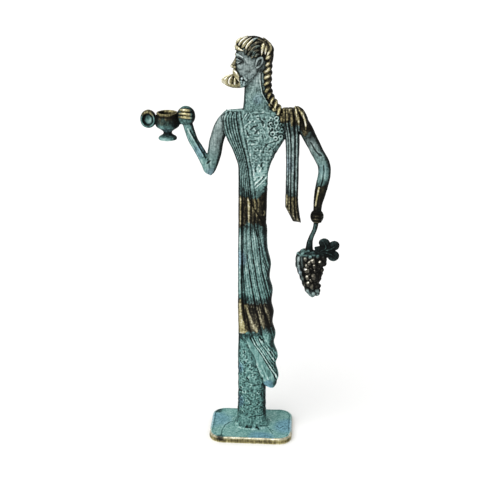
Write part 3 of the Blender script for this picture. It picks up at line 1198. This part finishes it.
# Dirt stays where the front turns to the sides, more so on the right, and in the pupils and small holes in
# the brazing metal
outwards = skin["out"][:, 0]
turning = 1.1 * ramp(outwards, 0.35, 0.85) + 0.9 * ramp(-outwards, 0.5, 0.9)
turning *= 1 - 0.8 * ramp(np.abs(outwards), 0.9, 0.985)
dark += turning * (1 - 0.5 * ramp(z, 246, 250)) * (0.25 + 0.75 * ramp(z, 8, 15))
dark += 2.4 * spotted(skin["at"], foot_holes) + 1.6 * spotted(skin["at"], pupils)
blue = spotted(skin["at"], blue_spots)
# The crust is greyer high up and on the head, and smoother on the arms, the head and the strip below the hem
beside = np.clip(ramp(-x, 16, 20) + ramp(x, 32, 35), 0, 1)
grey = 0.05 + 0.22 * ramp(z, 70, 150) + 0.38 * ramp(z, 234, 262) + 0.2 * strip_zone
grey += beside * (0.3 * ramp(z, 195, 212) * ramp(x, -30, -27) - 0.12 * ramp(-x, 28, 31))
smooth_flank = spotted(skin["at"], flank_spot)
grey -= 0.12 * smooth_flank
dark -= 0.3 * smooth_flank
dark += beside * ramp(z, 150, 155) * (0.3 * outwards + 0.1)
below_hem = within(z - hem_border(x), -12.5, -0.5, 0.5) * ramp(x, -2.5, -0.5) * (x < 20)
grainy = 1 - 0.5 * beside - 0.7 * below_hem - 0.3 * ramp(z, 250, 256)
# The upper edges of the berries are rubbed brighter, in crescents, and the metal is greyer there and on the
# band at the knees
on_grapes = within(x, 28, 50, 0.5) * within(z, 100, 134, 1)
upper_edge = ramp(skin["out"] @ np.array([-0.5, -0.35, 0.79]), 0.6, 0.88)
gold += on_grapes * ((0.95 + 1.3 * grain(skin["at"], 1.7, 11)) * upper_edge - 0.05)
grey += 0.35 * on_grapes + 0.25 * body * within(z, 78, 102, 3) * ramp(x, -4, 0)
grey *= 1 - 0.75 * np.clip(rubbed, 0, 1) * ramp(z, 150, 175)
fine, broad = (limit * np.tanh(crests(skin, rounds) / limit) for rounds, limit in ((4, 0.12), (30, 0.45)))
figure_marks = {
    "dark": dark, "rubbed": rubbed, "gold": gold, "blue": blue, "grey": grey, "grainy": grainy,
    "fine_crest": fine, "broad_crest": broad,
}
for name, values in figure_marks.items():
    store(figure, name, values)
faces = sum(len(face.vertices) - 2 for face in figure.data.polygons)
apply_modifier(figure, "DECIMATE", ratio=min(1, FIGURE["triangles"] / faces))

plate_skin = read_skin(plate)
x, y, z = plate_skin["at"].T
# How far each point is inside the plate's outline, which is an oblong with rounded corners
half = np.array(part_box("base")[1])[:2] / MM - PLATE["corner"]
beyond = np.abs(plate_skin["at"][:, :2]) - half
inside = PLATE["corner"] - np.linalg.norm(np.maximum(beyond, 0), axis=1) - np.minimum(beyond.max(1), 0)
uneven = grain(plate_skin["at"], 3, 9)
# The bevel and the wall of the rim by height, and the half of the plate that is ahead of the foot
bevel = ramp(z, 3.3, 3.7) * (1 - ramp(inside + 0.2 * uneven, 0.9, 1.4))
wall = 1 - ramp(z, 3.1, 3.5)
ahead = ramp(-y, 6, 15)
dark = (0.75 - 0.3 * ahead) * within(inside + 0.3 * uneven, 1.6, 2.4, 0.4) * (z > 3) - 0.04
dark += 0.15 * wall * ramp(uneven, 0, 0.6) - 0.4 * bevel * (1 - ahead)
dark += 0.8 * spotted(plate_skin["at"], plate_stains)
plate_marks = {
    "dark": dark, "rubbed": np.maximum(bevel * (0.2 + 0.8 * ahead), 0.85 * wall),
    "gold": 0.2 * wall + 0.9 * bevel, "blue": spotted(plate_skin["at"], plate_blue),
    "grey": 0.4 * bevel, "grainy": 0.4 - 0.3 * wall,
    "fine_crest": crests(plate_skin, 4) * (1 - bevel), "broad_crest": crests(plate_skin, 30) * (1 - bevel),
}
for name, values in plate_marks.items():
    store(plate, name, values)

# The finish. Brass that was dipped to grow a blue-green verdigris, then brushed: a thin mineral crust, matt
# and mottled, over metal that shows brown in the hollows of the rubbed bands and golden on their ridges.
# Each layer has a middle level, and tones by how far a spot is above or below it.
TONES = {
    "crust": [(-1.4, "#0a100f"), (-0.8, "#1b2b2a"), (-0.3, "#3c5f5b"), (0.1, "#5f8c87"), (0.6, "#90b5ae"),
              (1.3, "#d8e6e2")],
    "metal": [(-0.9, "#0d0c08"), (-0.4, "#2a271b"), (0.05, "#5e573b"), (0.5, "#a1986a"), (0.85, "#c6be90"),
              (1.2, "#f2f0e4")],
}
MIDDLE = {"crust": 0, "metal": 0.6}
SPAN = 3
BLUE_CRUST, GREY_CRUST = "#5c8798", "#808080"
# Sizes of the patterns in millimetres: the brushing is drawn out up and down
SIZES = {"speckle": 1.1, "mottle": 3.2, "patch": 16, "grit": 0.35, "brushing": 1}
DRAWN_OUT = (1, 1, 0.14)
MARKS = tuple(figure_marks)
# What a spot's level is made of: a start, the speckle where the crust is grainy, and the rest as they are.
# The metal's level is higher by how bright it is.
LEVEL = {"start": -0.87, "speckle": 2.2, "gold": 1.2}
LEVEL_PARTS = {"mottle": 0.8, "brushing": 1.3, "fine_crest": 4.5, "broad_crest": 1.3, "dark": -1.0}


def linear(code):
    """An sRGB hex colour as linear red, green, blue and alpha."""
    shares = [int(code[i : i + 2], 16) / 255 for i in (1, 3, 5)]
    return [s / 12.92 if s <= 0.04045 else ((s + 0.055) / 1.055) ** 2.4 for s in shares] + [1]


def add(tree, kind, settings=(), **inputs):
    """Adds a shader node, gives it its settings, and fills or links its inputs. They are named with _ for a
    space, or numbered with an i."""
    made = tree.nodes.new("ShaderNode" + kind)
    for setting, value in dict(settings).items():
        setattr(made, setting, value)
    for name, value in inputs.items():
        numbered = name[0] == "i" and name[1:].isdigit()
        socket = made.inputs[int(name[1:])] if numbered else made.inputs[name.replace("_", " ")]
        if isinstance(value, bpy.types.NodeSocket):
            tree.links.new(value, socket)
        else:
            socket.default_value = value
    return made.outputs


def verdigris_brass(name):
    """Brass under a mottled crust of verdigris, worn as the marks on the skin say."""
    material = bpy.data.materials.new(name)
    material.use_nodes = True
    tree = material.node_tree
    shader = tree.nodes["Principled BSDF"]
    shader.inputs["Specular IOR Level"].default_value = 0.06
    times, times_and_add = {"operation": "MULTIPLY"}, {"operation": "MULTIPLY_ADD"}
    smoothly = {"interpolation_type": "SMOOTHSTEP"}
    at = add(tree, "TexCoord")["Object"]
    drawn_out = add(tree, "Mapping", Vector=at, Scale=DRAWN_OUT)["Vector"]
    # What the finish reads at each spot: the marks of the wear, and the noise of each pattern
    spot = {mark: add(tree, "Attribute", {"attribute_name": mark})["Fac"] for mark in MARKS}
    for pattern, size in SIZES.items():
        place = drawn_out if pattern == "brushing" else at
        spot[pattern] = add(tree, "TexNoise", Vector=place, Scale=1 / (size * MM), Detail=3.0)["Fac"]
    speckle = add(tree, "Math", {"operation": "SUBTRACT"}, i0=spot["speckle"], i1=0.5)["Value"]
    speckle = add(tree, "Math", times, i0=speckle, i1=spot["grainy"])["Value"]
    level = add(tree, "Math", times_and_add, i0=speckle, i1=LEVEL["speckle"], i2=LEVEL["start"])["Value"]
    for part, weight in LEVEL_PARTS.items():
        level = add(tree, "Math", times_and_add, i0=spot[part], i1=weight, i2=level)["Value"]
    metal_level = add(tree, "Math", times_and_add, i0=spot["gold"], i1=LEVEL["gold"], i2=level)["Value"]
    colour = {}
    for layer, height in (("crust", level), ("metal", metal_level)):
        low, high = MIDDLE[layer] - SPAN / 2, MIDDLE[layer] + SPAN / 2
        share = add(tree, "MapRange", Value=height, From_Min=low, From_Max=high)["Result"]
        colour[layer] = add(tree, "ValToRGB", Fac=share)["Color"]
        stops = colour[layer].node.color_ramp.elements
        stops.remove(stops[1])
        for number, (above_middle, code) in enumerate(TONES[layer]):
            place = above_middle / SPAN + 0.5
            stop = stops.new(place) if number else stops[0]
            stop.position, stop.color = place, linear(code)
    # The crust is bluer in patches
    bluer = add(tree, "Math", {"operation": "ADD"}, i0=spot["blue"], i1=spot["patch"])["Value"]
    bluer = add(tree, "MapRange", smoothly, Value=bluer, From_Min=0.5, From_Max=1.2, To_Max=0.8)["Result"]
    crust = add(tree, "Mix", {"data_type": "RGBA", "blend_type": "COLOR"}, i0=bluer, i6=colour["crust"],
                i7=linear(BLUE_CRUST))[2]
    # The rubbed metal breaks through the crust with a ragged border, and both are greyed where marked
    ragged = add(tree, "Math", times_and_add, i0=spot["mottle"], i1=0.6, i2=spot["rubbed"])["Value"]
    bare = add(tree, "MapRange", smoothly, Value=ragged, From_Min=0.65, From_Max=1.0)["Result"]
    surface = add(tree, "Mix", {"data_type": "RGBA"}, i0=bare, i6=crust, i7=colour["metal"])[2]
    surface = add(tree, "Mix", {"data_type": "RGBA", "blend_type": "SATURATION"}, i0=spot["grey"], i6=surface,
                  i7=linear(GREY_CRUST))[2]
    # Bright bare metal is metallic and smoother, and the rest is matt
    bright = add(tree, "MapRange", smoothly, Value=metal_level, From_Min=0.6, From_Max=1.2)["Result"]
    shining = add(tree, "Math", times, i0=bare, i1=bright)["Value"]
    metallic = add(tree, "Math", times, i0=shining, i1=0.8)["Value"]
    matt = add(tree, "MapRange", Value=spot["speckle"], From_Min=0.3, From_Max=0.7, To_Min=0.52, To_Max=0.72)
    bare_less = add(tree, "Math", times_and_add, i0=bare, i1=-0.1, i2=matt["Result"])["Value"]
    roughness = add(tree, "Math", times_and_add, i0=shining, i1=-0.14, i2=bare_less)["Value"]
    bump = add(tree, "Bump", Height=spot["grit"], Strength=0.35, Distance=0.12 * MM)["Normal"]
    links = {"Base Color": surface, "Metallic": metallic, "Roughness": roughness, "Normal": bump}
    for socket, value in links.items():
        tree.links.new(value, shader.inputs[socket])
    return material


for piece, node in ((figure, "figure"), (plate, "base")):
    piece.data.materials.clear()
    piece.data.materials.append(verdigris_brass("verdigris brass " + node))
    piece.data.shade_smooth()
    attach(piece, "root")
    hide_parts(node)

# The studio. A plain pale floor and one broad soft light high on the left. The camera stands at the angle
# that the photograph was taken from.
# The lens is its focal length in pixels of a render this wide, and the sensor's width is in millimetres
VIEW = {"distance": 750, "target": (-8.2, 0, 142.7), "up": 20, "around": 4, "lens": 1119}
RENDER_WIDTH = 480
SENSOR = 36
bpy.ops.mesh.primitive_plane_add(size=16)
floor = bpy.context.object
floor.name = "floor"
paper = bpy.data.materials.new("matt white paper")
paper.use_nodes = True
paper.node_tree.nodes["Principled BSDF"].inputs["Base Color"].default_value = linear("#f6f6f5")
paper.node_tree.nodes["Principled BSDF"].inputs["Roughness"].default_value = 0.9
floor.data.materials.append(paper)

world = bpy.data.worlds.new("soft room")
bpy.context.scene.world = world
world.use_nodes = True
world.node_tree.nodes["Background"].inputs["Color"].default_value = linear("#fbfbfb")
world.node_tree.nodes["Background"].inputs["Strength"].default_value = 0.75
bpy.context.scene.view_settings.view_transform = "Standard"


def put_in_scene(name, data, turn, place=(0, 0, 0)):
    """Puts a light or a camera into the scene."""
    item = bpy.data.objects.new(name, data)
    item.rotation_euler, item.location = turn, place
    bpy.context.scene.collection.objects.link(item)
    return item


lamp = bpy.data.lights.new("broad soft light", "SUN")
lamp.energy, lamp.angle = 2.0, math.radians(55)
put_in_scene("broad soft light", lamp, (math.radians(40), 0, math.radians(-35)))
camera_data = bpy.data.cameras.new("camera")
camera_data.sensor_width = SENSOR
camera_data.lens = VIEW["lens"] / RENDER_WIDTH * SENSOR
up, around = math.radians(VIEW["up"]), math.radians(VIEW["around"])
away = np.array([math.sin(around) * math.cos(up), -math.cos(around) * math.cos(up), math.sin(up)])
stand = (np.array(VIEW["target"]) + VIEW["distance"] * away) * MM
bpy.context.scene.camera = put_in_scene("camera", camera_data, (math.pi / 2 - up, 0, around), stand)
